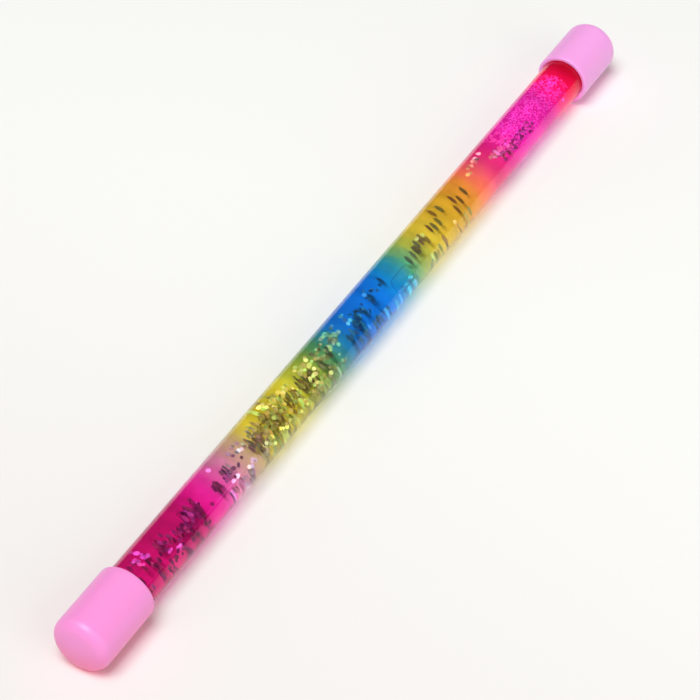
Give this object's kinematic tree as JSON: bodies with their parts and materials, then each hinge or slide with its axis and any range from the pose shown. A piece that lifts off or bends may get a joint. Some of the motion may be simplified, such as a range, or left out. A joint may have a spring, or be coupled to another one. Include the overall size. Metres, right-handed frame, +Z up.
{
  "type": "glitter wand",
  "caption": "Clear rainbow-tinted tube filled with liquid and drifting silver glitter flakes, closed at each end by a stopper and a round pink push-on cap.",
  "frame": {"origin": "under the middle of the wand, on the surface that its caps lie on", "axes": "+X along the tube towards the far cap, +Z up"},
  "size_m": [0.3154, 0.018, 0.018],
  "materials": {
    "tube": "clear, polished",
    "film": "transparent rainbow print",
    "liquid": "clear liquid",
    "stopper": "moulded",
    "cap": "soft satin",
    "flake": "metallised silver",
    "fine_flake": "metallised violet"
  },
  "bodies": {
    "wand": {"clear_tube": "tube", "rainbow_film": "film", "glitter_liquid": "liquid", "near_stopper": "stopper", "far_stopper": "stopper"},
    "near_end": {"near_cap": "cap"},
    "far_end": {"far_cap": "cap"},
    "near_cloud": {"near_flakes": "flake"},
    "pale_cloud": {"pale_flakes": "flake"},
    "gold_cloud": {"gold_flakes": "flake"},
    "blue_cloud": {"blue_flakes": "flake"},
    "amber_cloud": {"amber_flakes": "flake"},
    "far_cloud": {"far_flakes": "flake"},
    "fine_cloud": {"fine_flakes": "fine_flake"}
  },
  "joints": [
    {"name": "near_cap_pull", "type": "slide", "parent": "wand", "child": "near_end", "axis": [-1, 0, 0], "range_m": [0, 0.03]},
    {"name": "far_cap_pull", "type": "slide", "parent": "wand", "child": "far_end", "axis": [1, 0, 0], "range_m": [0, 0.03]},
    {"name": "near_cloud_drift", "type": "slide", "parent": "wand", "child": "near_cloud", "axis": [1, 0, 0], "range_m": [-0.0141, 0.2355], "deforming": ["glitter_liquid"]},
    {"name": "pale_cloud_drift", "type": "slide", "parent": "wand", "child": "pale_cloud", "axis": [1, 0, 0], "range_m": [-0.0541, 0.215], "deforming": ["glitter_liquid"]},
    {"name": "gold_cloud_drift", "type": "slide", "parent": "wand", "child": "gold_cloud", "axis": [1, 0, 0], "range_m": [-0.0711, 0.1628], "deforming": ["glitter_liquid"]},
    {"name": "blue_cloud_drift", "type": "slide", "parent": "wand", "child": "blue_cloud", "axis": [1, 0, 0], "range_m": [-0.1271, 0.1341], "deforming": ["glitter_liquid"]},
    {"name": "amber_cloud_drift", "type": "slide", "parent": "wand", "child": "amber_cloud", "axis": [1, 0, 0], "range_m": [-0.171, 0.0769], "deforming": ["glitter_liquid"]},
    {"name": "far_cloud_drift", "type": "slide", "parent": "wand", "child": "far_cloud", "axis": [1, 0, 0], "range_m": [-0.2134, 0.036], "deforming": ["glitter_liquid"]},
    {"name": "fine_cloud_drift", "type": "slide", "parent": "wand", "child": "fine_cloud", "axis": [1, 0, 0], "range_m": [-0.2221, 0.0131], "deforming": ["glitter_liquid"]}
  ]
}
